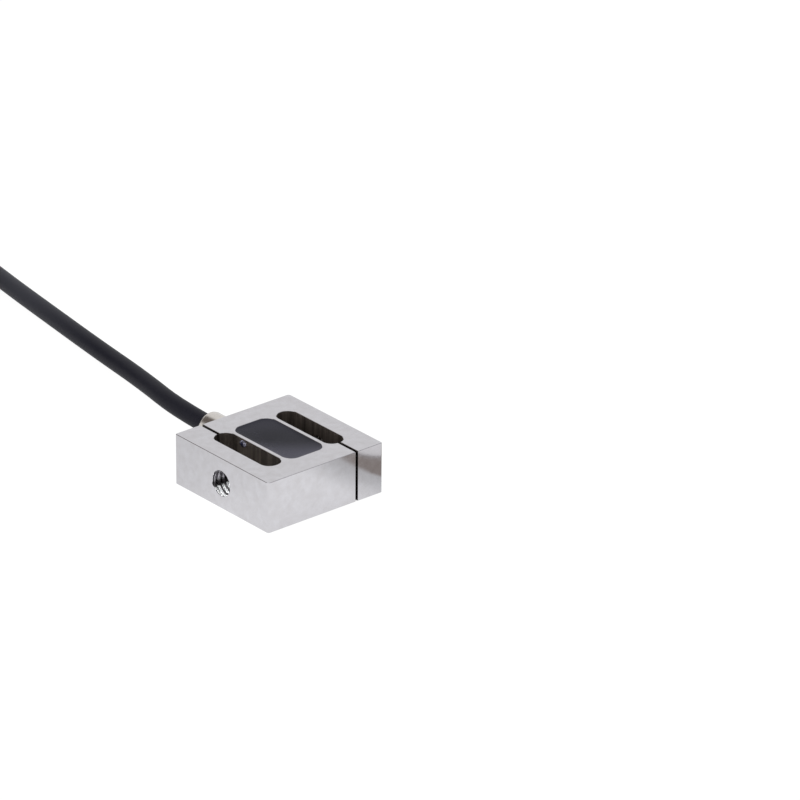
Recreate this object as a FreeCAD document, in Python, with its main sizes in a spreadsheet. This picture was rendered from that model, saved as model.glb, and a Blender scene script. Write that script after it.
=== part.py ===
"""Miniature S type load cell with its cable, in millimetres.

The cell lies on one of its two large faces. The origin is the centre of that face, +X is the load
axis through the two threaded holes, +Y points out along the cable and +Z is up through the thickness.
"""
import FreeCAD, Part
import Sketcher
import math
import os

from FreeCAD import Placement, Rotation, Vector

SIZES = (
    # spring element
    ("body_length", 12.8, "spring element, between the two threaded faces"),
    ("body_width", 12.8, "spring element, across the load axis"),
    ("body_thickness", 4.8, "spring element, between the two ground faces"),
    ("corner_round", 0.3, "radius of two opposite upright edges of the block"),
    ("corner_break", 0.15, "radius of the block's other two upright edges"),
    ("edge_chamfer", 0.1, "broken edge round each ground face"),
    ("pocket_width", 4.2, "gauge pocket, along the load axis"),
    ("pocket_length", 8.1, "gauge pocket, across the load axis"),
    ("pocket_corner", 1.0, "corner radius of the gauge pocket"),
    ("flexure_wall", 0.4, "thin wall between the gauge pocket and each slot"),
    ("slot_width", 2.0, "relief slot, along the load axis"),
    ("slot_length", 8.0, "relief slot, across the load axis"),
    ("slot_corner", 0.95, "corner radius of the relief slots"),
    ("slit_width", 0.28, "wire cut slit that lets each slot out"),
    ("thread_bore", 2.5, "minor diameter of the M3 threads"),
    # cable gland
    ("shank_diameter", 2.0, "ferrule shank, pressed into the block"),
    ("collar_diameter", 2.9, "ferrule collar outside the block"),
    ("collar_length", 3.25, "how far the collar stands out"),
    ("collar_chamfer", 0.2, "broken rim of the collar"),
    ("seat_depth", 0.5, "how far the cable goes in below the block's face"),
    ("core_bore", 1.2, "bore of the shank, for the four cores"),
    # inside the gauge pocket
    ("resin_recess", 0.06, "resin below each ground face"),
    ("drop_width", 0.8, "stray drop of resin on the wall of a slot"),
    ("drop_height", 0.2, "stray drop of resin, out from the wall"),
    ("drop_side", 1.8, "stray drop of resin, from the middle of the wall"),
    ("drop_depth", 0.45, "stray drop of resin, below the ground face"),
    ("gauge_length", 2.0, "foil gauge, along the flexure"),
    ("gauge_width", 1.6, "foil gauge, through the thickness"),
    ("gauge_film", 0.06, "foil gauge, thickness with its film"),
    ("gauge_inset", 0.15, "between a gauge and the pocket's rounded corner"),
    ("board_width", 2.0, "terminal board, along the load axis"),
    ("board_height", 3.4, "terminal board, through the thickness"),
    ("board_thickness", 0.25, "terminal board"),
    ("chip_length", 1.0, "chip resistor"),
    ("chip_width", 0.5, "chip resistor"),
    ("chip_height", 0.35, "chip resistor"),
    ("chip_rise", 1.2, "each chip resistor from the board's middle"),
    ("core_joint", 0.4, "solder joint of a core, across its corners"),
    ("core_joint_height", 0.3, "height of the solder joint of a core"),
    ("core_joint_side", 0.32, "core joints from the board's middle, along the load axis"),
    ("core_joint_rise", 0.35, "core joints from the board's middle, through the thickness"),
    ("strip_width", 0.6, "flat lead strip from a gauge to the board"),
    ("strip_thickness", 0.08, "flat lead strip from a gauge to the board"),
    ("strip_gap", 0.2, "between the strips of the near and the far gauge"),
    ("strip_grip", 0.3, "length of strip soldered down at each end"),
    # cable
    ("cable_diameter", 1.75, "cable jacket"),
    ("core_diameter", 0.4, "one insulated core"),
    ("core_pitch", 0.44, "between neighbouring cores inside the cable"),
    ("coil_radius", 9.0, "put away coil, middle of its turns"),
    ("coil_levels", 6.0, "layers of turns in the coil"),
    ("coil_turns", 25.5, "turns in the whole coil"),
    ("coil_slack", 0.05, "how far the turns stray from a tight bundle"),
    ("coil_stub", 9.0, "straight cable that leaves the coil at each end"),
    ("coil_lead", 4.5, "straight cable between that and the first bend"),
    ("tie_strap", 0.3, "thickness of a coil tie's strap"),
    ("tie_width", 2.4, "width of a coil tie's strap"),
    ("tie_gap", 0.2, "tie clear of the coil's curved inner side"),
    ("tie_head", 3.0, "coil tie's head, along the strap"),
    ("tie_head_width", 3.0, "coil tie's head, across the strap"),
    ("tie_head_height", 1.9, "coil tie's head, standing out from the coil"),
    ("tie_tail", 4.0, "cut end of the strap past the head"),
    ("tie_tail_width", 2.2, "cut end of the strap, where it narrows"),
    ("tie_tail_lift", 0.6, "cut end clear of the strap below it"),
    # free end of the cable
    ("sleeve_diameter", 2.3, "shrink sleeve over the end of the jacket"),
    ("sleeve_length", 5.0, "shrink sleeve"),
    ("sleeve_grip", 2.0, "length of jacket inside the sleeve"),
    ("drain_diameter", 0.44, "twisted shield wire at the free end"),
    ("tinned_diameter", 0.22, "stripped and tinned end of a core, across its corners"),
    ("tinned_length", 2.0, "stripped and tinned end of a core"),
    ("wire_knee", 2.2, "straight wire before it bends, past the sleeve"),
    ("wire_reach", 7.5, "insulated wire past the sleeve"),
    ("wire_rise", 0.62, "end of the insulation above the floor"),
)

# Points of the cable from the block to the coil, chosen by hand: it droops from the gland and lies.
CABLE_ROUTE = (
    (0.0, 13.5, 2.4),
    (2.1, 21.8, 1.85),
    (4.0, 30.6, 1.1),
    (5.5, 39.6, 0.9),
)
COIL_ENTRY = (8.7, 61.2)
COIL_ENTRY_ANGLE = -10.0
COIL_EXIT_ANGLE = 170.0
COIL_EXIT_DIP = 20.0
TIE_ANGLES = (90.0, 270.0)

# Points of the free end, from the place where it leaves the coil, with heights above the floor.
TAIL_ROUTE = (
    (-2.75, -18.9, 1.6),
    (-2.75, -23.6, 1.15),
    (-2.6, -27.2, 1.15),
)

# Each wire of the free end: its place in the sleeve's end (side, rise) and how far it fans out.
END_WIRES = (
    ("end_core_white", -0.42, -0.36, -1.9),
    ("end_core_black", -0.36, 0.42, -0.9),
    ("end_drain", 0.0, 0.0, 0.1),
    ("end_core_green", 0.36, 0.42, 1.0),
    ("end_core_red", 0.42, -0.36, 1.9),
)

doc = FreeCAD.newDocument("s_type_load_cell")
sheet = doc.addObject("Spreadsheet::Sheet", "sizes")
for row, (alias, value, note) in enumerate(SIZES, start=1):
    sheet.set(f"A{row}", note)
    sheet.set(f"B{row}", str(value))
    sheet.setAlias(f"B{row}", alias)
doc.recompute()

ALIASES = {alias for alias, value, note in SIZES}
parts = []


def size(alias):
    """Value of one cell of the sheet."""
    return float(sheet.get(alias))


def formula(text):
    """The text as an expression, with the sheet's name before each of its aliases."""
    words = text.replace("(", " ( ").replace(")", " ) ").split()
    return " ".join("sizes." + word if word in ALIASES else word for word in words)


def worth(text):
    """Number that a formula comes to."""
    return float(sheet.evalExpression(formula(text)))


def bind(item, **formulas):
    """Bind properties of an object to formulas; a double underscore stands for a dot."""
    for name, text in formulas.items():
        item.setExpression(name.replace("__", "."), formula(text))


def keep(part, label):
    """Give a finished sub-part its name and list it for writing."""
    part.Label = label
    parts.append(part)
    return part


# ---- sketches ------------------------------------------------------------------------------------

def new_body(label):
    """An empty body, listed under its name."""
    return keep(doc.addObject("PartDesign::Body", label), label)


def new_sketch(body, name, role, offset="0"):
    """A sketch on one of the body's own origin planes, moved along its normal by a formula."""
    plane = next(item for item in body.Origin.OriginFeatures if item.Role == role)
    sketch = body.newObject("Sketcher::SketchObject", name)
    sketch.AttachmentSupport = (plane, [""])
    sketch.MapMode = "FlatFace"
    bind(sketch, AttachmentOffset__Base__z=offset)
    return sketch


def pin(sketch, kind, *where, to):
    """Add one dimension to a sketch and bind it to a formula."""
    index = sketch.addConstraint(Sketcher.Constraint(kind, *where, worth(to)))
    sketch.setExpression(f"Constraints[{index}]", formula(to))


def draw_outline(sketch, corners):
    """A closed outline of straight lines through corners that are given as pairs of formulas."""
    points = [Vector(worth(across), worth(up), 0) for across, up in corners]
    first = sketch.GeometryCount
    count = len(points)
    for start, end in zip(points, points[1:] + points[:1]):
        sketch.addGeometry(Part.LineSegment(start, end), False)
    for index, (across, up) in enumerate(corners):
        line = first + index
        sketch.addConstraint(Sketcher.Constraint("Coincident", first + (index - 1) % count, 2, line, 1))
        pin(sketch, "DistanceX", -1, 1, line, 1, to=across)
        pin(sketch, "DistanceY", -1, 1, line, 1, to=up)


def draw_rounded(sketch, left, right, bottom, top, *corners):
    """A rectangle between four formulas, with its corners rounded to one radius, or to two in turn."""
    west, east, south, north = worth(left), worth(right), worth(bottom), worth(top)
    radii = [worth(corners[quarter % len(corners)]) for quarter in range(4)]
    normal = Vector(0, 0, 1)
    centres = (
        (east - radii[0], south + radii[0]),
        (east - radii[1], north - radii[1]),
        (west + radii[2], north - radii[2]),
        (west + radii[3], south + radii[3]),
    )
    first = sketch.GeometryCount
    for quarter, (across, up) in enumerate(centres):
        turn = math.radians(90 * quarter - 90)
        circle = Part.Circle(Vector(across, up, 0), normal, radii[quarter])
        sketch.addGeometry(Part.ArcOfCircle(circle, turn, turn + math.pi / 2), False)
    for quarter in range(4):
        start = sketch.getPoint(first + quarter, 2)
        end = sketch.getPoint(first + (quarter + 1) % 4, 1)
        sketch.addGeometry(Part.LineSegment(start, end), False)
    sides = [first + 4 + quarter for quarter in range(4)]
    for quarter, side in enumerate(sides):
        arc = first + quarter
        following = first + (quarter + 1) % 4
        sketch.addConstraint(Sketcher.Constraint("Tangent", arc, 2, side, 1))
        sketch.addConstraint(Sketcher.Constraint("Tangent", side, 2, following, 1))
        sketch.addConstraint(Sketcher.Constraint("Horizontal" if quarter % 2 else "Vertical", side))
        if quarter >= len(corners):
            sketch.addConstraint(Sketcher.Constraint("Equal", arc - len(corners), arc))
    for quarter, corner in enumerate(corners):
        pin(sketch, "Radius", first + quarter, to=corner)
    pin(sketch, "DistanceX", -1, 1, sides[0], 1, to=right)
    pin(sketch, "DistanceY", -1, 1, sides[1], 1, to=top)
    pin(sketch, "DistanceX", -1, 1, sides[2], 1, to=left)
    pin(sketch, "DistanceY", -1, 1, sides[3], 1, to=bottom)


def draw_eight_sided(sketch, left, right, bottom, top, corner):
    """A rectangle between four formulas, with its corners cut off by a fourth."""
    draw_outline(sketch, (
        (f"{left} + {corner}", bottom), (f"{right} - {corner}", bottom),
        (right, f"{bottom} + {corner}"), (right, f"{top} - {corner}"),
        (f"{right} - {corner}", top), (f"{left} + {corner}", top),
        (left, f"{top} - {corner}"), (left, f"{bottom} + {corner}"),
    ))


def draw_circle(sketch, across, up, diameter):
    """A circle whose centre and diameter are formulas."""
    centre = Vector(worth(across), worth(up), 0)
    circle = sketch.addGeometry(Part.Circle(centre, Vector(0, 0, 1), worth(diameter) / 2), False)
    pin(sketch, "Diameter", circle, to=diameter)
    pin(sketch, "DistanceX", -1, 1, circle, 3, to=across)
    pin(sketch, "DistanceY", -1, 1, circle, 3, to=up)


def pad(body, sketch, length, midplane=False):
    """Pad a sketch along its normal by a formula, to one side or to both."""
    feature = body.newObject("PartDesign::Pad", sketch.Name + "_pad")
    feature.Profile = sketch
    feature.Midplane = midplane
    bind(feature, Length=length)
    return feature


def pocket(body, sketch, depth=None, reverse=False):
    """Cut a sketch into the body: right through, or to a depth that a formula gives."""
    feature = body.newObject("PartDesign::Pocket", sketch.Name + "_pocket")
    feature.Profile = sketch
    feature.Reversed = reverse
    if depth is None:
        feature.Type = "ThroughAll"
    else:
        bind(feature, Length=depth)
    return feature


# ---- spring element ------------------------------------------------------------------------------

SLOT_MIDDLE = "( pocket_width / 2 + flexure_wall + slot_width / 2 )"


def make_spring_body():
    """One ground block, wire cut into an S: two slots with their slits, a gauge pocket and bores."""
    body = new_body("spring_body")
    block = new_sketch(body, "block", "XY_Plane")
    draw_rounded(
        block,
        "0 - body_length / 2",
        "body_length / 2",
        "0 - body_width / 2",
        "body_width / 2",
        "corner_break",
        "corner_round",
    )
    solid = pad(body, block, "body_thickness")
    doc.recompute()

    broken = body.newObject("PartDesign::Chamfer", "broken_edges")
    broken.Base = (solid, level_edges(solid.Shape))
    bind(broken, Size="edge_chamfer")

    slot = new_sketch(body, "slot", "XY_Plane", "body_thickness")
    draw_rounded(
        slot,
        f"0 - {SLOT_MIDDLE} - slot_width / 2",
        f"0 - {SLOT_MIDDLE} + slot_width / 2",
        "0 - slot_length / 2",
        "slot_length / 2",
        "slot_corner",
    )
    slit = new_sketch(body, "slit", "XY_Plane", "body_thickness")
    slit_left, slit_right = f"0 - {SLOT_MIDDLE} - slit_width / 2", f"0 - {SLOT_MIDDLE} + slit_width / 2"
    past_edge = "body_width / 2 + slot_width"
    draw_outline(slit, (
        (slit_left, "0"), (slit_right, "0"), (slit_right, past_edge), (slit_left, past_edge),
    ))
    thread = new_sketch(body, "thread", "YZ_Plane", "0 - body_length / 2")
    draw_circle(thread, "0", "body_thickness / 2", "thread_bore")
    cuts = [
        pocket(body, slot),
        pocket(body, slit),
        pocket(body, thread, f"body_length / 2 - {SLOT_MIDDLE}", reverse=True),
    ]
    doc.recompute()

    halves = body.newObject("PartDesign::PolarPattern", "both_halves")
    halves.Originals = cuts
    halves.Axis = (next(item for item in body.Origin.OriginFeatures if item.Role == "Z_Axis"), [""])
    halves.Angle = 360
    halves.Occurrences = 2
    body.Tip = halves

    gauges = new_sketch(body, "gauge_pocket", "XY_Plane", "body_thickness")
    draw_rounded(
        gauges,
        "0 - pocket_width / 2",
        "pocket_width / 2",
        "0 - pocket_length / 2",
        "pocket_length / 2",
        "pocket_corner",
    )
    pocket(body, gauges)
    gland = new_sketch(body, "gland_bore", "XZ_Plane", "0 - body_width / 2")
    draw_circle(gland, "0", "body_thickness / 2", "shank_diameter")
    last = pocket(body, gland, "body_width / 2 - pocket_length / 2 + flexure_wall", reverse=True)
    body.Tip = last
    return body


def level_edges(shape):
    """Names of the edges that lie level, round the two ground faces."""
    return [
        f"Edge{index}" for index, edge in enumerate(shape.Edges, start=1)
        if edge.BoundBox.ZLength < 1e-6
    ]


def make_ferrule():
    """Turned collar with a shank: wide bore for the jacket, narrow bore for the four cores."""
    body = new_body("cable_ferrule")
    face, tip = "body_width / 2", "( body_width / 2 + collar_length )"
    profile = new_sketch(body, "ferrule_profile", "XY_Plane", "body_thickness / 2")
    draw_outline(profile, (
        ("core_bore / 2", "pocket_length / 2"),
        ("shank_diameter / 2", "pocket_length / 2"),
        ("shank_diameter / 2", face),
        ("collar_diameter / 2", face),
        ("collar_diameter / 2", tip),
        ("cable_diameter / 2", tip),
        ("cable_diameter / 2", face + " - seat_depth"),
        ("core_bore / 2", face + " - seat_depth"),
    ))
    turned = body.newObject("PartDesign::Revolution", "turned")
    turned.Profile = profile
    turned.ReferenceAxis = (profile, ["V_Axis"])
    turned.Angle = 360
    doc.recompute()

    rim = body.newObject("PartDesign::Chamfer", "broken_rim")
    rim.Base = (turned, outer_rim(turned.Shape, worth(tip), size("collar_diameter") / 2))
    bind(rim, Size="collar_chamfer")
    return body


def outer_rim(shape, height, radius):
    """Names of the round edges with this radius in the plane Y = height."""
    names = []
    for index, edge in enumerate(shape.Edges, start=1):
        curve = edge.Curve
        if isinstance(curve, Part.Circle) and abs(curve.Center.y - height) < 1e-6:
            if abs(curve.Radius - radius) < 1e-6:
                names.append(f"Edge{index}")
    return names


# ---- paths of cables and wires -------------------------------------------------------------------

BEND_SHARE = 0.45


def smooth_path(points, label=None):
    """A wire of straight runs joined by tangent arcs, each as large as its shorter run allows."""
    edges = []
    radii = []
    last = points[0]
    for before, corner, after in zip(points, points[1:], points[2:]):
        reach = BEND_SHARE * min((corner - before).Length, (after - corner).Length)
        toward = (after - corner).normalize()
        back = (before - corner).normalize()
        half_turn = (math.pi - toward.getAngle(back)) / 2
        radius = reach / math.tan(half_turn)
        bisector = (toward + back).normalize()
        middle = corner + bisector * (radius / math.cos(half_turn) - radius)
        start, end = corner + back * reach, corner + toward * reach
        edges.append(Part.LineSegment(last, start).toShape())
        edges.append(Part.Arc(start, middle, end).toShape())
        radii.append(radius)
        last = end
    edges.append(Part.LineSegment(last, points[-1]).toShape())
    if label:
        print(label, "length %.1f, bend radii" % sum(edge.Length for edge in edges),
              ", ".join("%.1f" % radius for radius in radii))
    return Part.Wire(edges)


def tube_along(points, diameter, label=None):
    """A solid round bar along a smooth path."""
    path = smooth_path(points, label)
    circle = Part.Circle(points[0], points[1] - points[0], diameter / 2).toShape()
    tube = path.makePipeShell([Part.Wire([circle])], True, False)
    section = math.pi * diameter ** 2 / 4
    if abs(tube.Volume - section * path.Length) > 0.01 * tube.Volume:
        raise ValueError(f"{label}: volume {tube.Volume:.3f} is not its section times its length")
    return tube


def polar(radius, degrees, height=0.0):
    """Point at a radius and an angle about the Z axis."""
    turn = math.radians(degrees)
    return Vector(radius * math.cos(turn), radius * math.sin(turn), height)


def rod_between(start, end, diameter):
    """A straight round bar from one point to another."""
    along = end - start
    return Part.makeCylinder(diameter / 2, along.Length, start, along)


def six_sided_bar(start, end, width):
    """A straight six sided bar from one point to another, with its width across corners."""
    along = end - start
    turn = Rotation(Vector(0, 0, 1), along)
    corners = [start + turn.multVec(polar(width / 2, 60 * corner)) for corner in range(6)]
    return Part.Face(Part.makePolygon(corners + corners[:1])).extrude(along)


def shape_part(label, shape):
    """A sub-part whose shape is worked out by this script."""
    feature = doc.addObject("Part::Feature", label)
    feature.Shape = shape
    return keep(feature, label)


# ---- inside the gauge pocket ---------------------------------------------------------------------

BOARD_FACE = "( 0 - pocket_length / 2 + board_thickness )"
MIDDLE = "body_thickness / 2"
GAUGE_PLACE = "( pocket_length / 2 - pocket_corner - gauge_inset - gauge_length / 2 )"
GAUGE_SIDES = ((-1, 1), (-1, -1), (1, 1), (1, -1))


def make_box(label, corner, lengths):
    """A box with its lowest corner and its three lengths bound to formulas."""
    box = doc.addObject("Part::Box", label)
    bind(box, Length=lengths[0], Width=lengths[1], Height=lengths[2])
    bind(box, Placement__Base__x=corner[0], Placement__Base__y=corner[1], Placement__Base__z=corner[2])
    return keep(box, label)


def make_gauges():
    """Four foil gauges, two on the inner face of each flexure wall, beside its two ends."""
    gauges = []
    for number, (side, end) in enumerate(GAUGE_SIDES, start=1):
        wall = "0 - pocket_width / 2" if side < 0 else "pocket_width / 2 - gauge_film"
        gauges.append(make_box(
            f"gauge_{number}",
            (wall, f"{end} * {GAUGE_PLACE} - gauge_length / 2", MIDDLE + " - gauge_width / 2"),
            ("gauge_film", "gauge_length", "gauge_width"),
        ))
    return gauges


def make_board():
    """Terminal board on the end wall of the pocket, with its two chip resistors."""
    board = make_box(
        "terminal_board",
        ("0 - board_width / 2", "0 - pocket_length / 2", MIDDLE + " - board_height / 2"),
        ("board_width", "board_thickness", "board_height"),
    )
    chips = [
        make_box(
            label,
            ("0 - chip_length / 2", BOARD_FACE, f"{MIDDLE} + {side} * chip_rise - chip_width / 2"),
            ("chip_length", "chip_height", "chip_width"),
        )
        for label, side in (("balance_resistor", 1), ("span_resistor", -1))
    ]
    return [board] + chips


def make_strips():
    """A flat lead strip from each gauge to the board, soldered down flat at both ends."""
    strips = []
    for number, (side, end) in enumerate(GAUGE_SIDES, start=1):
        body = new_body(f"gauge_leads_{number}")
        low = f"{MIDDLE} + strip_gap / 2" if end > 0 else f"{MIDDLE} - strip_gap / 2 - strip_width"
        outline = new_sketch(body, f"strip_{number}", "XY_Plane", low)
        gauge_face = "( pocket_width / 2 - gauge_film )"
        if end > 0:
            leaves = f"( {GAUGE_PLACE} - gauge_length / 2 )"
            starts = f"( {leaves} + strip_grip )"
        else:
            starts = f"( 0 - {GAUGE_PLACE} + gauge_length / 2 )"
            leaves = f"( {starts} - strip_grip )"
        lands = "( board_width / 2 - strip_thickness )"
        corners = (
            (gauge_face, starts),
            (gauge_face, leaves),
            (lands, BOARD_FACE),
            (f"{lands} - strip_grip", BOARD_FACE),
            (f"{lands} - strip_grip", f"{BOARD_FACE} + strip_thickness"),
            (f"{lands} - strip_thickness / 2", f"{BOARD_FACE} + strip_thickness"),
            (f"{gauge_face} - strip_thickness", f"{leaves} + strip_thickness / 2"),
            (f"{gauge_face} - strip_thickness", starts),
        )
        draw_outline(outline, [(f"{side} * ( {across} )", up) for across, up in corners])
        pad(body, outline, "strip_width")
        strips.append(body)
    return strips


def make_inner_cores():
    """Four cores that spread from the end of the jacket to the board, and their solder joints."""
    cores, joints = [], []
    seat = size("body_width") / 2 - size("seat_depth")
    along = Vector(0, 1, 0)
    for colour, side, rise in (("red", 1, 1), ("black", -1, 1), ("green", 1, -1), ("white", -1, -1)):
        start = Vector(
            side * size("core_pitch") / 2, seat, worth(MIDDLE) + rise * size("core_pitch") / 2
        )
        foot = Vector(
            side * size("core_joint_side"),
            worth(BOARD_FACE),
            worth(MIDDLE) + rise * size("core_joint_rise"),
        )
        top = foot + along * size("core_joint_height")
        circle = Part.Circle(start, along, size("core_diameter") / 2).toShape()
        section = Part.Face(Part.Wire([circle]))
        cores.append(shape_part("inner_core_" + colour, section.extrude(top - start)))
        joints.append(six_sided_bar(foot, top, size("core_joint")))
    return cores, shape_part("solder_joints", Part.makeCompound(joints))


def make_resin(inner):
    """Resin that fills the pocket round everything in it, a little below both ground faces."""
    block = doc.addObject("PartDesign::Body", "resin_block")
    outline = new_sketch(block, "resin", "XY_Plane", "resin_recess")
    draw_rounded(
        outline,
        "0 - pocket_width / 2",
        "pocket_width / 2",
        "0 - pocket_length / 2",
        "pocket_length / 2",
        "pocket_corner",
    )
    pad(block, outline, "body_thickness - 2 * resin_recess")
    held = doc.addObject("Part::MultiFuse", "held_in_resin")
    held.Shapes = inner
    resin = doc.addObject("Part::Cut", "potting")
    resin.Base = block
    resin.Tool = held
    return keep(resin, "potting")


def make_drop():
    """A stray drop of resin on the flexure's outer face, high in the first slot: a flat dome."""
    body = new_body("potting_bead")
    wall = f"( 0 - {SLOT_MIDDLE} + slot_width / 2 )"
    rise = "( body_thickness - drop_depth )"
    profile = new_sketch(body, "drop_profile", "XY_Plane", rise)
    foot = Vector(worth(wall), size("drop_side"), 0)
    crown = foot - Vector(size("drop_height"), 0, 0)
    edge = foot + Vector(0, size("drop_width") / 2, 0)
    half_width, height = size("drop_width") / 2, size("drop_height")
    radius = (half_width ** 2 + height ** 2) / (2 * height)
    centre = crown + Vector(radius, 0, 0)
    sweep = math.asin(half_width / radius)
    profile.addGeometry(Part.LineSegment(crown, foot), False)
    profile.addGeometry(Part.LineSegment(foot, edge), False)
    circle = Part.Circle(centre, Vector(0, 0, 1), radius)
    profile.addGeometry(Part.ArcOfCircle(circle, math.pi - sweep, math.pi), False)
    for first, second in ((0, 1), (1, 2), (2, 0)):
        join = ("Coincident", first, 2, second, 1)
        profile.addConstraint(Sketcher.Constraint(*join))
    profile.addConstraint(Sketcher.Constraint("Horizontal", 0))
    profile.addConstraint(Sketcher.Constraint("Vertical", 1))
    profile.addConstraint(Sketcher.Constraint("PointOnObject", 2, 3, 0))
    pin(profile, "DistanceX", -1, 1, 0, 2, to=wall)
    pin(profile, "DistanceY", -1, 1, 0, 2, to="drop_side")
    pin(profile, "DistanceX", 0, 1, 0, 2, to="drop_height")
    pin(profile, "DistanceY", 1, 1, 1, 2, to="drop_width / 2")
    dome = body.newObject("PartDesign::Revolution", "dome")
    dome.Profile = profile
    dome.ReferenceAxis = (profile, ["Edge1"])
    dome.Angle = 360
    return body


# ---- cable ---------------------------------------------------------------------------------------

TURNS_PER_LEVEL = "coil_turns / coil_levels"
HALF_SPREAD = f"( {TURNS_PER_LEVEL} * cable_diameter / 2 )"
BUNDLE_MARGIN = "( cable_diameter / 2 + coil_slack )"
BUNDLE_CORNER = "( cable_diameter / 4 )"
COIL_INSIDE = f"( coil_radius - {HALF_SPREAD} - {BUNDLE_MARGIN} )"
COIL_OUTSIDE = f"( coil_radius + {HALF_SPREAD} + {BUNDLE_MARGIN} )"
COIL_TOP = "( tie_strap + coil_levels * cable_diameter + 2 * coil_slack )"


def level_height(level):
    """Height of the cable's axis in one level of the coil."""
    return size("tie_strap") + size("coil_slack") + (level + 0.5) * size("cable_diameter")


outer_turn = worth(f"coil_radius + {HALF_SPREAD}")
coil_middle = Vector(*COIL_ENTRY, 0) - polar(outer_turn, COIL_ENTRY_ANGLE)
coil_start = coil_middle + polar(outer_turn, COIL_ENTRY_ANGLE, level_height(0))
coil_finish = coil_middle + polar(outer_turn, COIL_EXIT_ANGLE, level_height(size("coil_levels") - 1))
way_in = polar(1, COIL_ENTRY_ANGLE + 90)
dip = math.radians(COIL_EXIT_DIP)
way_out = polar(math.cos(dip), COIL_EXIT_ANGLE + 90, -math.sin(dip))


def make_cable_run():
    """Free cable from its seat in the ferrule to the coil."""
    seat = Vector(0, size("body_width") / 2 - size("seat_depth"), worth(MIDDLE))
    end = coil_start - way_in * size("coil_stub")
    bend = end - way_in * size("coil_lead")
    points = [seat] + [Vector(*point) for point in CABLE_ROUTE] + [bend, end]
    shape_part("cable_run", tube_along(points, size("cable_diameter"), "cable_run"))


def make_coil():
    """Outer shape of the put away coil: a ring, with the straight cable that enters and leaves it."""
    ring = doc.addObject("PartDesign::Body", "coil_ring")
    section = new_sketch(ring, "coil_section", "XZ_Plane")
    draw_eight_sided(section, COIL_INSIDE, COIL_OUTSIDE, "tie_strap", COIL_TOP, BUNDLE_CORNER)
    turned = ring.newObject("PartDesign::Revolution", "ring")
    turned.Profile = section
    turned.ReferenceAxis = (section, ["V_Axis"])
    turned.Angle = 360
    ring.Placement = Placement(coil_middle, Rotation())
    stubs = []
    ways = (("coil_way_in", coil_start, way_in * -1), ("coil_way_out", coil_finish, way_out))
    for name, start, way in ways:
        stub = doc.addObject("Part::Cylinder", name)
        bind(stub, Radius="cable_diameter / 2", Height="coil_stub")
        stub.Placement = Placement(start, Rotation(Vector(0, 0, 1), way))
        stubs.append(stub)
    coil = doc.addObject("Part::MultiFuse", "cable_coil")
    coil.Shapes = [ring] + stubs
    keep(coil, "cable_coil")


def make_tie(number, angle):
    """Nylon tie round the coil: a strap, its head on top and the cut end of the strap."""
    body = new_body(f"coil_tie_{number}")
    inside, outside = f"( {COIL_INSIDE} - tie_gap )", COIL_OUTSIDE
    strap = new_sketch(body, f"strap_{number}", "XZ_Plane")
    draw_eight_sided(strap, inside, outside, "tie_strap", COIL_TOP, BUNDLE_CORNER)
    draw_eight_sided(strap, f"{inside} - tie_strap", f"{outside} + tie_strap", "0",
                     f"{COIL_TOP} + tie_strap", f"( {BUNDLE_CORNER} + tie_strap / 2 )")
    pad(body, strap, "tie_width", midplane=True)
    head = new_sketch(body, f"head_{number}", "XZ_Plane")
    head_left, head_right = "coil_radius - tie_head / 2", "coil_radius + tie_head / 2"
    head_low, head_high = f"{COIL_TOP} + tie_strap / 2", f"{COIL_TOP} + tie_head_height"
    draw_outline(head, (
        (head_left, head_low), (head_right, head_low), (head_right, head_high), (head_left, head_high),
    ))
    pad(body, head, "tie_head_width", midplane=True)
    tail = new_sketch(body, f"tail_{number}", "XZ_Plane")
    tail_low = f"{COIL_TOP} + tie_strap + tie_tail_lift"
    tail_high, tail_end = f"{tail_low} + tie_strap", f"{head_right} + tie_tail"
    draw_outline(tail, (
        ("coil_radius", tail_low), (tail_end, tail_low), (tail_end, tail_high), ("coil_radius", tail_high),
    ))
    body.Tip = pad(body, tail, "tie_tail_width", midplane=True)
    body.Placement = Placement(coil_middle, Rotation(Vector(0, 0, 1), angle))


def make_free_end():
    """Free end of the cable: jacket, shrink sleeve, four stripped cores and the twisted shield."""
    start = coil_finish + way_out * size("coil_stub")
    origin = Vector(coil_finish.x, coil_finish.y, 0)
    route = [origin + Vector(*point) for point in TAIL_ROUTE]
    bend = start + way_out * size("coil_lead")
    shape_part("cable_tail", tube_along([start, bend] + route, size("cable_diameter"), "cable_tail"))

    end = route[-1]
    along = (route[-1] - route[-2]).normalize()
    side = Vector(-along.y, along.x, 0)
    sleeve_start = end - along * size("sleeve_grip")
    sleeve_end = sleeve_start + along * size("sleeve_length")
    sleeve = rod_between(sleeve_start, sleeve_end, size("sleeve_diameter"))
    sleeve = sleeve.cut(rod_between(sleeve_start, end, size("cable_diameter")))
    shape_part("end_sleeve", sleeve)

    tips = []
    for label, across, rise, fan in END_WIRES:
        root = sleeve_end + side * across + Vector(0, 0, rise)
        knee = root + along * size("wire_knee")
        finish = sleeve_end + along * size("wire_reach") + side * fan
        finish.z = size("wire_rise")
        if label == "end_drain":
            finish.z = size("drain_diameter") / 2
            shape_part(label, tube_along([root, knee, finish], size("drain_diameter"), label))
            continue
        shape_part(label, tube_along([root, knee, finish], size("core_diameter"), label))
        onward = (finish - knee).normalize()
        tip = finish + onward * size("tinned_length")
        tips.append(six_sided_bar(finish, tip, size("tinned_diameter")))
    shape_part("bare_tips", Part.makeCompound(tips))


# ---- the whole cell ------------------------------------------------------------------------------

make_spring_body()
make_ferrule()
gauges = make_gauges()
board = make_board()
strips = make_strips()
cores, solder = make_inner_cores()
make_resin(gauges + board + strips + cores + [solder])
make_drop()
make_cable_run()
make_coil()
for number, angle in enumerate(TIE_ANGLES, start=1):
    make_tie(number, angle)
make_free_end()
doc.recompute()

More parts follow.
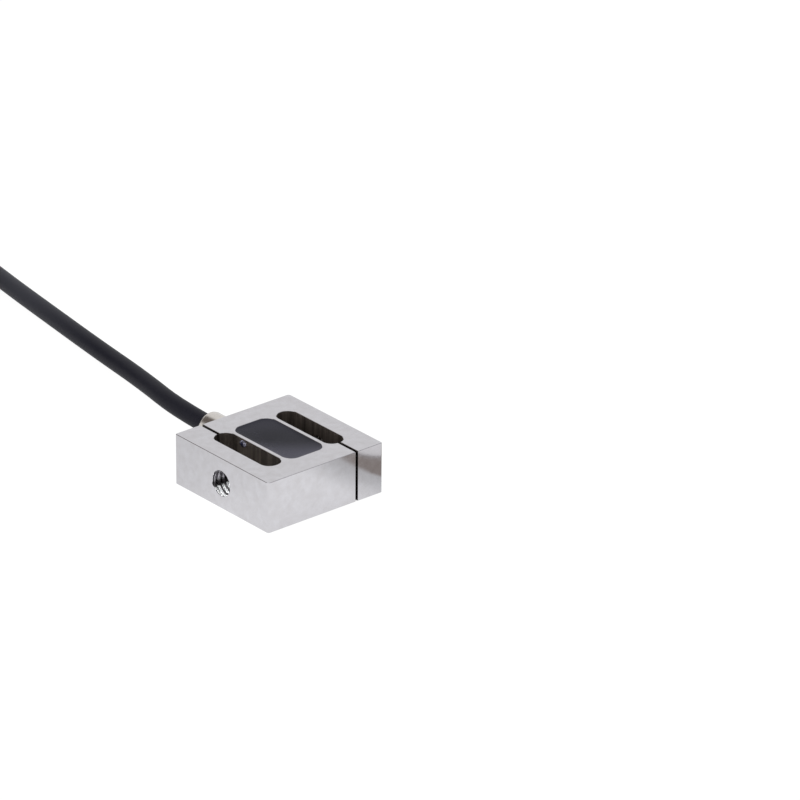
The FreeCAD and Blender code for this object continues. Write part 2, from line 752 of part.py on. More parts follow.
for item in doc.Objects:
    if "Invalid" in item.State or "Error" in item.State:
        raise ValueError(f"{item.Label} failed: {item.State}")
for part in parts:
    if part.Shape.isNull() or not part.Shape.isValid() or not part.Shape.Solids:
        raise ValueError(f"{part.Label} has no valid solid")

os.makedirs("parts", exist_ok=True)
for part in parts:
    part.Shape.exportStep(f"parts/{part.Label}.step")
    print("%-18s %d solid(s) %10.3f mm3" % (part.Label, len(part.Shape.Solids), part.Shape.Volume))
print(len(parts), "sub-parts")
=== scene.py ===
"""Looks of a miniature S type load cell with its cable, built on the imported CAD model.

All lengths are in metres. The cell lies on one ground face: +X is the load axis, +Y points out
along the cable and +Z is up.
"""

import math

import bpy
import numpy as np
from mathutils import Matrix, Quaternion, Vector
from mathutils.geometry import tessellate_polygon


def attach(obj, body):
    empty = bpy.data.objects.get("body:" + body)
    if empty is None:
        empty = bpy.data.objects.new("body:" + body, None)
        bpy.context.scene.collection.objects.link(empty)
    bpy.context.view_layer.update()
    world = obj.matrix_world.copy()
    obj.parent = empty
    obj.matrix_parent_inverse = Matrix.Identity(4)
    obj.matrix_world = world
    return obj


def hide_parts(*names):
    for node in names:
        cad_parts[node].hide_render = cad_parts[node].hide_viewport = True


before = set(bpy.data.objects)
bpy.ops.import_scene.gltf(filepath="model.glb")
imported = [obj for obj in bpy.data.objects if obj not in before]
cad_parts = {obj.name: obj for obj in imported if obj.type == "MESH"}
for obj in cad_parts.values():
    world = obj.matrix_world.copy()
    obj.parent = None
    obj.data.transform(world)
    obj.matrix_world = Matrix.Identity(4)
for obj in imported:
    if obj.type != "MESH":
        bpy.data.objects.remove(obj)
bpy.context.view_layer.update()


# ---- camera --------------------------------------------------------------------------------------
# A long lens looks down on the cell from its front left corner. It rolls by a fraction of a degree.
camera_data = bpy.data.cameras.new("camera")
camera_data.lens = 279.25
camera_data.sensor_width = 36.0
camera_data.clip_start = 0.05
camera_data.clip_end = 20.0
camera = bpy.data.objects.new("camera", camera_data)
bpy.context.scene.collection.objects.link(camera)
bpy.context.scene.camera = camera
camera.location = (-0.30753, -0.37693, 0.23776)
aim_point = Vector((0.01977, 0.00698, 0.0))
roll = Quaternion((0, 0, 1), math.radians(0.4377))
camera.rotation_mode = "QUATERNION"
camera.rotation_quaternion = (aim_point - camera.location).to_track_quat("-Z", "Y") @ roll


# ---- cable ---------------------------------------------------------------------------------------
# The real cable is a 1.75 mm shielded lead with a matt black polyurethane jacket. It comes out of
# the ferrule, droops on to the table and ends in a neat coil of six layers, as it is shipped.
CABLE_RADIUS, CABLE_LENGTH = 0.000875, 1.5
cable_points = 0.001 * np.array([
    (0.0, 5.9, 2.4),
    (0.0, 13.5, 2.4),
    (2.1, 21.8, 1.85),
    (4.0, 30.6, 1.1),
    (5.5, 39.6, 0.9),
    (6.356, 47.905, 1.225),
])
COIL_RADIUS, COIL_LEVELS, COIL_TURNS = 0.009, 6, 25.5
STRAIGHT_OUT = 0.0135
coil_spread = COIL_TURNS / COIL_LEVELS * CABLE_RADIUS
coil_inner, coil_outer = COIL_RADIUS - coil_spread, COIL_RADIUS + coil_spread
enter_turn, leave_turn, leave_dip = np.radians([-10, 170, 20])
coil_way_in = np.array([-math.sin(enter_turn), math.cos(enter_turn), 0.0])
coil_way_out = np.array([
    -math.sin(leave_turn) * math.cos(leave_dip),
    math.cos(leave_turn) * math.cos(leave_dip),
    -math.sin(leave_dip),
])
coil_start = np.array([0.0087, 0.0612, 0.001225])
coil_middle = coil_start - coil_outer * np.array([math.cos(enter_turn), math.sin(enter_turn), 0.0])
coil_finish = coil_middle + np.array([
    coil_outer * math.cos(leave_turn),
    coil_outer * math.sin(leave_turn),
    (COIL_LEVELS - 1) * 2 * CABLE_RADIUS,
])


def coil_turns(turns, levels, per_turn=16, rise=0.2):
    """Control points of the coil, one row each.

    The angle grows by an even step. In each level the radius goes in a straight line from one
    rim to the other, inwards and outwards by turns, and holds still for the last part of a turn,
    in which the height goes up by one diameter along 3 x^2 - 2 x^3.
    """
    count = round(turns * per_turn)
    step = 2 * math.pi * turns / count
    angle = (np.arange(count) + 0.5) * step
    span = turns / levels
    done = angle / (2 * math.pi) / span
    level = np.minimum(np.floor(done), levels - 1)
    share = done - level
    across = np.clip(share * span / (span - rise), 0, 1)
    inwards = level % 2 == 0
    radius = np.where(inwards, coil_outer + (coil_inner - coil_outer) * across,
                      coil_inner + (coil_outer - coil_inner) * across)
    climb = np.clip((share * span - span + rise) / rise, 0, 1) * (level < levels - 1)
    height = (level + climb ** 2 * (3 - 2 * climb)) * 2 * CABLE_RADIUS
    radius = radius / math.cos(step / 2)
    turned = enter_turn + angle
    points = np.stack([radius * np.cos(turned), radius * np.sin(turned), height], axis=1)
    return coil_middle + points, coil_outer * math.tan(step / 2)


def spline_piece(name, points, radius, resolution, sides):
    """A round cord on a quadratic NURBS spline that has the points as its control points."""
    curve = bpy.data.curves.new(name, "CURVE")
    curve.dimensions = "3D"
    curve.bevel_depth = radius
    curve.bevel_resolution = sides
    curve.use_fill_caps = True
    curve.resolution_u = resolution
    curve.render_resolution_u = resolution
    spline = curve.splines.new("NURBS")
    spline.points.add(len(points) - 1)
    spline.points.foreach_set("co", np.column_stack([points, np.ones(len(points))]).ravel())
    spline.order_u = 3
    spline.use_endpoint_u = True
    spline.use_smooth = True
    piece = bpy.data.objects.new(name, curve)
    bpy.context.scene.collection.objects.link(piece)
    return piece


turn_points, coil_reach = coil_turns(COIL_TURNS, COIL_LEVELS)
tail_points = 0.001 * np.array([(-2.75, -18.9, 1.6), (-2.75, -23.6, 1.15), (-2.6, -27.2, 1.15)])
tail_points[:, :2] += coil_finish[:2]
cable_line = np.vstack([
    cable_points,
    coil_start - coil_way_in * coil_reach,
    turn_points,
    coil_finish + coil_way_out * coil_reach,
    coil_finish + coil_way_out * STRAIGHT_OUT,
    tail_points,
])
cable = spline_piece("cable", cable_line, CABLE_RADIUS, resolution=6, sides=8)


def new_material(name, colour, roughness, metallic=0.0):
    """A material of one colour, roughness and metallic share, and its Principled shader."""
    material = bpy.data.materials.new(name)
    material.use_nodes = True
    shader = material.node_tree.nodes["Principled BSDF"]
    shader.inputs["Base Color"].default_value = (*colour, 1.0)
    shader.inputs["Roughness"].default_value = roughness
    shader.inputs["Metallic"].default_value = metallic
    return material, shader


def add_grain(material, shader, scale, stretch=(1, 1, 1), tones=None, gloss=None, depth=0.0, detail=4):
    """Noise on the object's coordinates, in cycles per metre, that drives the finish.

    tones is a pair of colours to go between, gloss a pair of roughnesses, and depth the height
    of the relief in metres. Each is left out where it is not given.
    """
    tree = material.node_tree
    place = tree.nodes.new("ShaderNodeTexCoord")
    mapping = tree.nodes.new("ShaderNodeMapping")
    mapping.inputs["Scale"].default_value = stretch
    tree.links.new(place.outputs["Object"], mapping.inputs["Vector"])
    noise = tree.nodes.new("ShaderNodeTexNoise")
    noise.inputs["Scale"].default_value = scale
    noise.inputs["Detail"].default_value = detail
    tree.links.new(mapping.outputs["Vector"], noise.inputs["Vector"])
    if tones:
        ramp = tree.nodes.new("ShaderNodeValToRGB")
        ramp.color_ramp.elements[0].position = 0.3
        ramp.color_ramp.elements[0].color = (*tones[0], 1.0)
        ramp.color_ramp.elements[1].position = 0.7
        ramp.color_ramp.elements[1].color = (*tones[1], 1.0)
        tree.links.new(noise.outputs["Fac"], ramp.inputs["Fac"])
        tree.links.new(ramp.outputs["Color"], shader.inputs["Base Color"])
    if gloss:
        spread = tree.nodes.new("ShaderNodeMapRange")
        spread.inputs["From Min"].default_value = 0.3
        spread.inputs["From Max"].default_value = 0.7
        spread.inputs["To Min"].default_value = gloss[0]
        spread.inputs["To Max"].default_value = gloss[1]
        tree.links.new(noise.outputs["Fac"], spread.inputs["Value"])
        tree.links.new(spread.outputs["Result"], shader.inputs["Roughness"])
    if depth:
        bump = tree.nodes.new("ShaderNodeBump")
        bump.inputs["Distance"].default_value = depth
        tree.links.new(noise.outputs["Fac"], bump.inputs["Height"])
        before = shader.inputs["Normal"].links
        if before:
            tree.links.new(before[0].from_socket, bump.inputs["Normal"])
        tree.links.new(bump.outputs["Normal"], shader.inputs["Normal"])
    return noise


def blend_towards(tree, before, colour, amount):
    """A Mix node that goes from one colour to another by an amount between 0 and 1."""
    mix = tree.nodes.new("ShaderNodeMix")
    mix.data_type = "RGBA"
    if isinstance(before, tuple):
        mix.inputs["A"].default_value = (*before, 1.0)
    else:
        tree.links.new(before, mix.inputs["A"])
    mix.inputs["B"].default_value = (*colour, 1.0)
    tree.links.new(amount, mix.inputs["Factor"])
    return mix.outputs["Result"]


def smooth_step(tree, value, low, high, top=1.0):
    """A value carried from 0 at low to top at high, along 3 u^2 - 2 u^3. Low may be the larger."""
    step = tree.nodes.new("ShaderNodeMapRange")
    step.interpolation_type = "SMOOTHSTEP"
    step.inputs["From Min"].default_value = low
    step.inputs["From Max"].default_value = high
    step.inputs["To Max"].default_value = top
    tree.links.new(value, step.inputs["Value"])
    return step.outputs["Result"]


def vector_node(tree, operation, vector, constant=(0, 0, 0)):
    """A Vector Math node between a linked vector and a constant one."""
    maths = tree.nodes.new("ShaderNodeVectorMath")
    maths.operation = operation
    tree.links.new(vector, maths.inputs[0])
    maths.inputs[1].default_value = constant
    return maths.outputs["Value" if operation in ("DISTANCE", "DOT_PRODUCT") else "Vector"]


def value_node(tree, operation, first, second):
    """A Math node between two linked values."""
    maths = tree.nodes.new("ShaderNodeMath")
    maths.operation = operation
    tree.links.new(first, maths.inputs[0])
    tree.links.new(second, maths.inputs[1])
    return maths.outputs["Value"]


def parted(tree, vector):
    """The three coordinates of a linked vector, as the outputs X, Y and Z of a node."""
    parting = tree.nodes.new("ShaderNodeSeparateXYZ")
    tree.links.new(vector, parting.inputs["Vector"])
    return parting.outputs


# The jacket is matt, and beyond the first few centimetres it is painted paler: painted light on the
# far run and the coil.
jacket, jacket_shader = new_material("cable_jacket", (0.015, 0.015, 0.021), 0.45)
grain = add_grain(jacket, jacket_shader, 9000, gloss=(0.38, 0.52), depth=0.000004)
jacket_shader.inputs["Specular IOR Level"].default_value = 0.06
tree = jacket.node_tree
place = tree.nodes.new("ShaderNodeTexCoord").outputs["Object"]
speckle = smooth_step(tree, grain.outputs["Fac"], 0.3, 0.7)
black = blend_towards(tree, (0.012, 0.012, 0.0175), (0.018, 0.018, 0.025), speckle)
# Painted light: the jacket is painted paler from 27 mm to 50 mm along Y, and stays so beyond.
far_painted_light = smooth_step(tree, parted(tree, place)["Y"], 0.027, 0.0505)
jacket_tone = blend_towards(tree, black, (0.055, 0.056, 0.066), far_painted_light)
tree.links.new(jacket_tone, jacket_shader.inputs["Base Color"])
cable.data.materials.append(jacket)
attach(cable, "root")
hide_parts("cable_run", "cable_coil", "cable_tail")


# ---- spring element ------------------------------------------------------------------------------
# The spring element is one block of hardened stainless steel, ground on six sides. A wire has cut
# it into an S: two slots that open through narrow slits, and a pocket between them for the gauges.
# The four corners are rounded, the ground faces have broken edges, and both ends are tapped M3.
BLOCK_HALF, BLOCK_HEIGHT = 0.0064, 0.0048
CORNER_ROUND, CORNER_SHARPER = 0.0003, 0.00015
OUTER_BREAK, INNER_BREAK = 0.000035, 0.00003
SLOT_MIDDLE, SLOT_HALF_WIDTH, SLOT_HALF_LENGTH, SLOT_CORNER = 0.0035, 0.001, 0.004, 0.00095
SLIT_HALF = 0.00014
THREAD_PITCH, THREAD_MINOR, THREAD_MAJOR = 0.0005, 0.0012, 0.00148
POCKET_HALF_WIDTH, POCKET_HALF_LENGTH, POCKET_CORNER = 0.0021, 0.00405, 0.001


def arc(centre, radius, start, end, count):
    """Points of an arc from one angle in degrees to another, both ends included."""
    turn = np.radians(np.linspace(start, end, count))
    return np.array(centre) + radius * np.stack([np.cos(turn), np.sin(turn)], axis=1)


def block_outline():
    """The S as one closed outline seen from above, with the material on its left.

    One half is written out: a well rounded corner, the way into a slot and out again, and the
    next corner, which is sharper. The other half is the same points turned half way round the
    origin. Second comes the width of the broken edge at each point's next side.
    """
    edge, corner, sharper = BLOCK_HALF, CORNER_ROUND, CORNER_SHARPER
    inner = SLOT_HALF_LENGTH - SLOT_CORNER
    left = SLOT_MIDDLE - SLOT_HALF_WIDTH + SLOT_CORNER
    right = SLOT_MIDDLE + SLOT_HALF_WIDTH - SLOT_CORNER
    lean = math.degrees(math.asin((left - SLOT_MIDDLE + SLIT_HALF) / SLOT_CORNER))
    first = arc((-edge + corner, -edge + corner), corner, 180, 270, 9)
    inlet = [
        [(SLOT_MIDDLE - SLIT_HALF, -edge)],
        arc((left, -inner), SLOT_CORNER, 270 - lean, 180, 17),
        arc((left, inner), SLOT_CORNER, 180, 90, 17),
        arc((right, inner), SLOT_CORNER, 90, 0, 17),
        arc((right, -inner), SLOT_CORNER, 0, -90 + lean, 17),
        [(SLOT_MIDDLE + SLIT_HALF, -edge)],
    ]
    last = arc((edge - sharper, -edge + sharper), sharper, 270, 360, 7)
    half = np.vstack([first, *inlet, last])
    broken = np.full(len(half), OUTER_BREAK)
    broken[len(first):len(half) - len(last) - 1] = INNER_BREAK
    return np.vstack([half, -half]), np.concatenate([broken, broken])


def rounded_outline(half_x, half_y, corner, count=17):
    """A rounded rectangle round the origin, anticlockwise."""
    x, y = half_x - corner, half_y - corner
    return np.vstack([
        arc((x, -y), corner, -90, 0, count), arc((x, y), corner, 0, 90, count),
        arc((-x, y), corner, 90, 180, count), arc((-x, -y), corner, 180, 270, count),
    ])


def set_in(outline, widths):
    """The outline with each side moved to its left by the width that goes with its first point.

    A new corner p solves n1.p = n1.v + w1 and n2.p = n2.v + w2, where v is the old corner, and
    n1 and n2 are the left normals of the sides before and after it. Sides in line share a width.
    """
    along = np.roll(outline, -1, axis=0) - outline
    normal = np.stack([-along[:, 1], along[:, 0]], axis=1)
    normal /= np.linalg.norm(normal, axis=1)[:, None]
    before, width_before = np.roll(normal, 1, axis=0), np.roll(widths, 1)
    cross = before[:, 0] * normal[:, 1] - before[:, 1] * normal[:, 0]
    level = np.abs(cross) < 1e-3
    safe = np.where(level, 1.0, cross)
    move = np.stack([
        (width_before * normal[:, 1] - widths * before[:, 1]) / safe,
        (widths * before[:, 0] - width_before * normal[:, 0]) / safe,
    ], axis=1)
    move[level] = normal[level] * widths[level][:, None]
    return outline + move


def skin_faces(rings, length, start=0):
    """Four sided faces between closed rings of points that are numbered one after another."""
    ring = np.arange(rings - 1)[:, None] * length + start
    point = np.arange(length)[None, :]
    following = (point + 1) % length
    return np.stack([
        ring + point, ring + following, ring + length + following, ring + length + point,
    ], axis=2).reshape(-1, 4)


def new_piece(name, points, faces):
    """An object at the origin with this mesh, smooth except across edges sharper than 30 degrees."""
    mesh = bpy.data.meshes.new(name)
    mesh.from_pydata(np.asarray(points, float).tolist(), [], [list(map(int, face)) for face in faces])
    mesh.validate()
    mesh.shade_smooth()
    mesh.set_sharp_from_angle(angle=math.radians(30))
    piece = bpy.data.objects.new(name, mesh)
    bpy.context.scene.collection.objects.link(piece)
    return piece


def block_mesh():
    """The block: each outline is carried up through four levels, and both ends are closed.

    The levels are the lower face, set in by the broken edge, the two ends of the upright wall,
    and the upper face, set in again. The pocket's outline runs the other way round.
    """
    outer, widths = block_outline()
    pocket = rounded_outline(POCKET_HALF_WIDTH, POCKET_HALF_LENGTH, POCKET_CORNER)[::-1]
    loops = [(outer, widths), (pocket, np.full(len(pocket), INNER_BREAK))]
    points, faces, ends, start = [], [], [[], []], 0
    for loop, width in loops:
        inset = set_in(loop, width)
        broken = width[:, None]
        rings = [
            np.hstack([inset, np.zeros_like(broken)]),
            np.hstack([loop, broken]),
            np.hstack([loop, BLOCK_HEIGHT - broken]),
            np.hstack([inset, np.full_like(broken, BLOCK_HEIGHT)]),
        ]
        points += rings
        faces += skin_faces(4, len(loop), start).tolist()
        ends[0].append(np.arange(len(loop)) + start)
        ends[1].append(np.arange(len(loop)) + start + 3 * len(loop))
        start += 4 * len(loop)
    points = np.vstack(points)
    for side, numbers in enumerate(ends):
        all_numbers = np.concatenate(numbers)
        corners = [[Vector(points[number]) for number in loop] for loop in numbers]
        cap = all_numbers[np.array(tessellate_polygon(corners))]
        first, second, third = (points[cap[:, corner]] for corner in range(3))
        normal = np.cross(second - first, third - first)
        wrong = (normal[:, 2] > 0) != bool(side)
        cap[wrong] = cap[wrong][:, ::-1]
        faces += cap.tolist()
    return points, faces


def thread_cutter(half_turn):
    """A rod with an M3 x 0.5 thread outside, along X from beyond one end face into its slot.

    Its surface is a grid. Along the helix the angle t runs on, and across it lies one pitch of the
    thread, given as pairs of height h and radius r: x = h + pitch t / 2 pi, y = r cos t and
    z = r sin t. Each row ends on the next turn's first point. A cone closes each end. The groove's
    depth fades in at the face and out before the slot, along 3 u^2 - 2 u^3. The first groove
    stays inside the face, but for a nick of depth exp(-w^2) in the rim where it starts.
    """
    pitch, sides, turns = THREAD_PITCH, 64, 8
    start, mouth, nick = -0.007677, -0.006375, 0.00008
    height = pitch * np.array([0.0, 0.25, 0.5625, 0.6875])
    t = np.arange(turns * sides + 1)[:, None] * 2 * math.pi / sides
    turn = t / (2 * math.pi)
    fade_in, fade_out = np.clip((turn - 1.86) / 0.1, 0, 1), np.clip((6.1 - turn) / 0.4, 0, 1)
    depth = fade_in ** 2 * (3 - 2 * fade_in) * fade_out ** 2 * (3 - 2 * fade_out)
    groove = np.array([0.0, 0.0, 1.0, 1.0])
    radius = THREAD_MINOR + (THREAD_MAJOR - THREAD_MINOR) * depth * groove
    x = start + height + pitch * turn
    rim = mouth - nick * np.exp(-((turn - 1.93) / 0.04) ** 2)
    near = np.minimum(rim, x[:, :1] + 0.0003)
    x = np.maximum(x, near + np.array([-1.0, 0.0, 0.00008, 0.00012]))
    grid = np.stack([x, radius * np.cos(t), radius * np.sin(t)], axis=2)
    rows = len(grid)
    last_turn = grid[-sides:, 0] + [pitch, 0, 0]
    tips = np.array([
        [grid[0, 0, 0] - pitch, 0, 0], [last_turn[-1, 0] + pitch, 0, 0],
    ])
    points = np.vstack([grid.reshape(-1, 3), last_turn, tips])
    points[:, :2] *= -1 if half_turn else 1
    points[:, 2] += BLOCK_HEIGHT / 2

    number = np.arange(rows * 4).reshape(rows, 4)
    above = np.concatenate([number[sides:, 0], rows * 4 + np.arange(sides)])
    number = np.column_stack([number, above])
    faces = np.stack([
        number[:-1, :-1], number[1:, :-1], number[1:, 1:], number[:-1, 1:],
    ], axis=2).reshape(-1, 4).tolist()
    first_rim = np.concatenate([number[0], number[sides - 1:0:-1, 0]])
    last_rim = np.concatenate([number[-sides - 1:, 4], number[-1, 3:0:-1]])
    for rim, tip in ((first_rim, len(points) - 2), (last_rim, len(points) - 1)):
        faces += np.stack([rim, np.roll(rim, -1), np.full(len(rim), tip)], axis=1).tolist()
    return points, faces


def turned_mesh(profile, sides, start, along, ring=False):
    """A turned form: pairs of distance d and radius r, carried round an axis.

    A point is start + d a + r (u cos t + w sin t), where a is the axis's direction, and u and w
    are square to it and to each other. The ends are closed by flat faces, or for a ring the last
    pair is joined to the first. The profile has the axis on its left.
    """
    a = np.array(along, float) / np.linalg.norm(along)
    u = np.cross(a, [0, 0, 1])
    u /= np.linalg.norm(u)
    w = np.cross(a, u)
    t = np.arange(sides) * 2 * math.pi / sides
    round_way = np.cos(t)[:, None] * u + np.sin(t)[:, None] * w
    profile = np.array(profile + profile[:1] if ring else profile, float)
    rings = profile[:, 0, None, None] * a + profile[:, 1, None, None] * round_way + np.array(start)
    faces = skin_faces(len(profile), sides)
    if ring:
        faces %= (len(profile) - 1) * sides
        return rings[:-1].reshape(-1, 3), faces.tolist()
    first, last = np.arange(sides)[::-1], np.arange(sides) + (len(profile) - 1) * sides
    return rings.reshape(-1, 3), faces.tolist() + [first.tolist(), last.tolist()]


SHANK_RADIUS = 0.001
block = new_piece("spring_element", *block_mesh())
gland_bore = turned_mesh(
    [(0.0039, SHANK_RADIUS), (0.0066, SHANK_RADIUS)], 64, (0, 0, BLOCK_HEIGHT / 2), (0, 1, 0),
)
cutters = [
    new_piece("thread_cutter_1", *thread_cutter(half_turn=False)),
    new_piece("thread_cutter_2", *thread_cutter(half_turn=True)),
    new_piece("gland_cutter", *gland_bore),
]
for cutter in cutters:
    cut = block.modifiers.new("cut", "BOOLEAN")
    cut.operation = "DIFFERENCE"
    cut.solver = "EXACT"
    cut.object = cutter
bpy.context.view_layer.update()
machined = bpy.data.meshes.new_from_object(block.evaluated_get(bpy.context.evaluated_depsgraph_get()))
block.modifiers.clear()
block.data = machined
for cutter in cutters:
    bpy.data.objects.remove(cutter)


def face_middles(mesh):
    """Middle and normal of each face, one row each."""
    middle, normal = np.zeros(len(mesh.polygons) * 3), np.zeros(len(mesh.polygons) * 3)
    mesh.polygons.foreach_get("center", middle)
    mesh.polygons.foreach_get("normal", normal)
    return middle.reshape(-1, 3), normal.reshape(-1, 3)


# The outside is ground and then polished to a soft grey sheen.
ground, ground_shader = new_material("ground_steel", (0.59, 0.583, 0.60), 0.15, metallic=1.0)
add_grain(ground, ground_shader, 1500, tones=((0.56, 0.55, 0.565), (0.617, 0.612, 0.635)),
          gloss=(0.09, 0.15), detail=8)
add_grain(ground, ground_shader, 2600, stretch=(0.12, 1.0, 0.6), depth=0.0000012)

# The slots keep the dark upright marks of the wire, and their colour is darkened further as painted
# shade of the deep slots. The slits are painted darker still, as painted shade in the narrow cut, and
# the slot on the -X side has a little more painted shade than the other.
wired, wired_shader = new_material("wire_cut_steel", (0.13, 0.112, 0.10), 0.45, metallic=0.5)
add_grain(wired, wired_shader, 3500, stretch=(1.0, 1.0, 0.05),
          tones=((0.050, 0.040, 0.034), (0.150, 0.126, 0.108)), gloss=(0.4, 0.55), depth=0.000003)
tree = wired.node_tree
place = tree.nodes.new("ShaderNodeTexCoord").outputs["Object"]
streaks_and_painted_shade = wired_shader.inputs["Base Color"].links[0].from_socket
# Painted shade: the slot on the -X side is painted a little darker.
first_slot_painted_shade = smooth_step(tree, parted(tree, place)["X"], -0.001, -0.002, top=0.2)
streaks_and_painted_shade = blend_towards(tree, streaks_and_painted_shade, (0.012, 0.010, 0.009), first_slot_painted_shade)
# Painted shade: the narrow slits are painted near black.
sides = parted(tree, vector_node(tree, "ABSOLUTE", place))
slit_painted_shade = smooth_step(tree, sides["Y"], 0.0038, 0.0044)
streaks_and_painted_shade = blend_towards(tree, streaks_and_painted_shade, (0.012, 0.008, 0.007), slit_painted_shade)
tree.links.new(streaks_and_painted_shade, wired_shader.inputs["Base Color"])

# The threads are bright from the tap. Their crests past the mouth are painted dark, a band half way up
# is painted darker still, and the part above it is painted grey: painted dark reflections of the
# bore's inside.
tapped, tapped_shader = new_material("tapped_steel", (0.9, 0.89, 0.91), 0.12, metallic=0.35)
add_grain(tapped, tapped_shader, 2500, stretch=(0.2, 1.0, 1.0), gloss=(0.08, 0.18))
tree = tapped.node_tree
place = tree.nodes.new("ShaderNodeTexCoord").outputs["Object"]
along = parted(tree, place)
from_centre = vector_node(tree, "MULTIPLY", place, (0.0, 1.0, 1.0))
from_centre = vector_node(tree, "DISTANCE", from_centre, (0.0, 0.0, BLOCK_HEIGHT / 2))
# Painted dark reflection: the crests past the mouth are painted dark.
crest = smooth_step(tree, from_centre, 0.00127, 0.00124)
past_mouth = smooth_step(tree, along["X"], -0.00618, -0.00612)
crest_painted_dark = value_node(tree, "MULTIPLY", crest, past_mouth)
thread_tone_and_painted_dark = blend_towards(tree, (0.95, 0.965, 0.97), (0.10, 0.095, 0.10), crest_painted_dark)
# Painted dark reflection: a band half way up the bore is painted near black.
middle_painted_dark = smooth_step(tree, along["Z"], 0.00150, 0.00170)
thread_tone_and_painted_dark = blend_towards(tree, thread_tone_and_painted_dark, (0.02, 0.018, 0.019), middle_painted_dark)
# Painted reflection: above the dark band the bore is painted grey.
upper = smooth_step(tree, along["Z"], 0.00195, 0.00235)
thread_tone_and_painted_dark = blend_towards(tree, thread_tone_and_painted_dark, (0.37, 0.36, 0.39), upper)
tree.links.new(thread_tone_and_painted_dark, tapped_shader.inputs["Base Color"])

# Each face takes its finish from its place: tapped near the mouth of a thread, wire cut in the slots,
# the pocket and the rest of the bores, and ground outside, with the rounded corners.
GROUND, WIRED, TAPPED = 0, 1, 2
for finish in (ground, wired, tapped):
    machined.materials.append(finish)
middle, normal = face_middles(machined)
across = np.abs(middle[:, :2])
off_walls = across.max(axis=1) < BLOCK_HALF - 0.00005
off_corners = across.min(axis=1) < BLOCK_HALF - 0.0004
within = off_walls & off_corners
upright = np.abs(normal[:, 2]) < 0.3
from_axis = np.hypot(middle[:, 1], middle[:, 2] - BLOCK_HEIGHT / 2)
bored = within & (from_axis < THREAD_MAJOR + 0.00008)
# Painted shade: the +X bore keeps the dark wire-cut finish for all but its last 0.3 mm, so it shows
# dark through the slot on the +X side.
tap_end = np.where(middle[:, 0] < 0, 0.0047, 0.0061)
kind = np.where(bored | (within & upright), WIRED, GROUND)
kind[bored & (tap_end < across[:, 0])] = TAPPED
machined.polygons.foreach_set("material_index", kind.astype(np.int32))
machined.shade_smooth()
machined.set_sharp_from_angle(angle=math.radians(30))
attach(block, "root")
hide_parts("spring_body")


# ---- ferrule -------------------------------------------------------------------------------------
# The ferrule is turned from brass and nickel plated. Its shank is pressed into the block, and its
# collar holds the cable's jacket, with a rolled lip at the mouth.
SHANK_END, CABLE_SEAT, COLLAR_FACE, COLLAR_TIP = 0.00405, 0.0059, BLOCK_HALF, 0.00965
COLLAR_RADIUS, LIP_RADIUS, CORE_BORE, CABLE_BORE = 0.00145, 0.0003, 0.0006, 0.00088
lip = [
    (
        COLLAR_TIP - LIP_RADIUS * (1 - math.sin(turn)),
        COLLAR_RADIUS - LIP_RADIUS * (1 - math.cos(turn)),
    )
    for turn in np.radians([0, 22.5, 45, 67.5, 90])
]
ferrule = new_piece("ferrule", *turned_mesh(
    [
        (SHANK_END, CORE_BORE), (SHANK_END, SHANK_RADIUS - 0.00006),
        (SHANK_END + 0.00006, SHANK_RADIUS), (COLLAR_FACE, SHANK_RADIUS),
        (COLLAR_FACE, COLLAR_RADIUS - 0.00005), (COLLAR_FACE + 0.00005, COLLAR_RADIUS), *lip,
        (COLLAR_TIP, CABLE_BORE + 0.0001), (COLLAR_TIP - 0.0001, CABLE_BORE),
        (CABLE_SEAT, CABLE_BORE), (CABLE_SEAT, CORE_BORE),
    ],
    96, (0, 0, BLOCK_HEIGHT / 2), (0, 1, 0), ring=True,
))
nickel, nickel_shader = new_material("nickel_plate", (0.64, 0.61, 0.57), 0.2, metallic=1.0)
add_grain(nickel, nickel_shader, 1800, tones=((0.60, 0.57, 0.53), (0.68, 0.65, 0.61)),
          gloss=(0.14, 0.26))
add_grain(nickel, nickel_shader, 9000, stretch=(0.02, 1.0, 0.02), depth=0.0000015)
ferrule.data.materials.append(nickel)
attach(ferrule, "root")
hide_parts("cable_ferrule")


# ---- resin ---------------------------------------------------------------------------------------
# The pocket is filled with dark epoxy from both sides. It stands a hair below the ground faces,
# climbs a little at the wall, where it wetted the steel, and set with a smooth glossy skin.
def resin_mesh():
    """The filling as one skin: rings of the pocket's outline that shrink towards its middle line.

    With s the share of the way in from the wall, the height of the skin is the rim's height less
    a dip of 0.03 mm times 1 - exp(-9 s), and it swells again by 0.012 mm times s^2.
    """
    share = np.array([0.0, 0.02, 0.05, 0.09, 0.15, 0.24, 0.36, 0.52, 0.7, 0.88])
    half_x, half_y = POCKET_HALF_WIDTH - 0.000002, POCKET_HALF_LENGTH - 0.000002
    inward = 0.0019 * share
    corner = np.maximum(POCKET_CORNER - 0.5 * inward, 0.00002) * (1 - 0.8 * share)
    outlines = [
        rounded_outline(half_x - step, half_y - step, radius) for step, radius in zip(inward, corner)
    ]
    rise = BLOCK_HEIGHT - 0.00003 - 0.00003 * (1 - np.exp(-9 * share)) + 0.000012 * share ** 2
    length = len(outlines[0])
    heights = np.concatenate([BLOCK_HEIGHT - rise[::-1], rise])
    rings = [
        np.column_stack([line, np.full(length, height)])
        for line, height in zip(outlines[::-1] + outlines, heights)
    ]
    faces = skin_faces(len(rings), length).tolist()
    faces.append(np.arange(length)[::-1].tolist())
    faces.append((np.arange(length) + (len(rings) - 1) * length).tolist())
    return np.vstack(rings), faces


